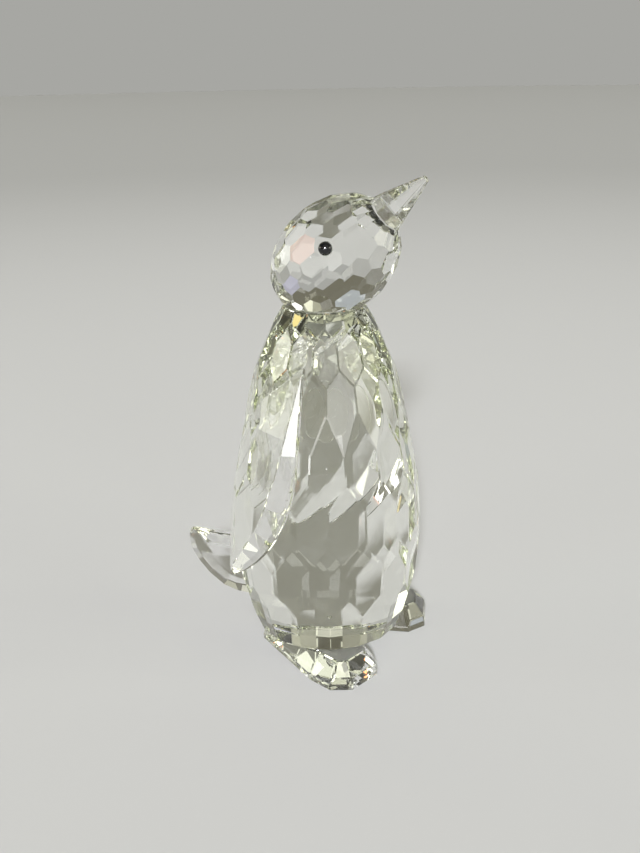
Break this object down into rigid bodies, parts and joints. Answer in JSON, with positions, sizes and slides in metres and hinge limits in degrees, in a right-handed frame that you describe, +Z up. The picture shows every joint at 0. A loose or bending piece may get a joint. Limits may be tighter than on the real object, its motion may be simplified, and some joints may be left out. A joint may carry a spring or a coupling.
{
  "type": "penguin figurine",
  "caption": "Standing penguin figurine of clear cut crystal, facetted all over, with folded wings, a raised pointed beak, black bead eyes, a short tail and flat splayed feet.",
  "frame": {"origin": "on the surface that the soles stand on, under the middle of the whole figurine", "axes": "+Z up; -Y is the way the penguin looks and its beak points; +X is its left side"},
  "size_m": [0.0392, 0.048, 0.0883],
  "materials": {
    "crystal": "clear lead crystal, facets ground and polished",
    "black_glass": "opaque black glass bead, glossy",
    "clear_cement": "cured clear glass cement, a thin film"
  },
  "bodies": {
    "root": {"body": "crystal", "head": "crystal", "beak": "crystal", "right_wing": "crystal", "left_wing": "crystal", "tail": "crystal", "right_foot": "crystal", "left_foot": "crystal", "right_eye": "black_glass", "left_eye": "black_glass", "neck_bond": "clear_cement", "beak_bond": "clear_cement", "right_eye_bond": "clear_cement", "left_eye_bond": "clear_cement", "right_wing_bond": "clear_cement", "left_wing_bond": "clear_cement", "tail_bond": "clear_cement", "right_foot_bond": "clear_cement", "left_foot_bond": "clear_cement"}
  },
  "joints": []
}
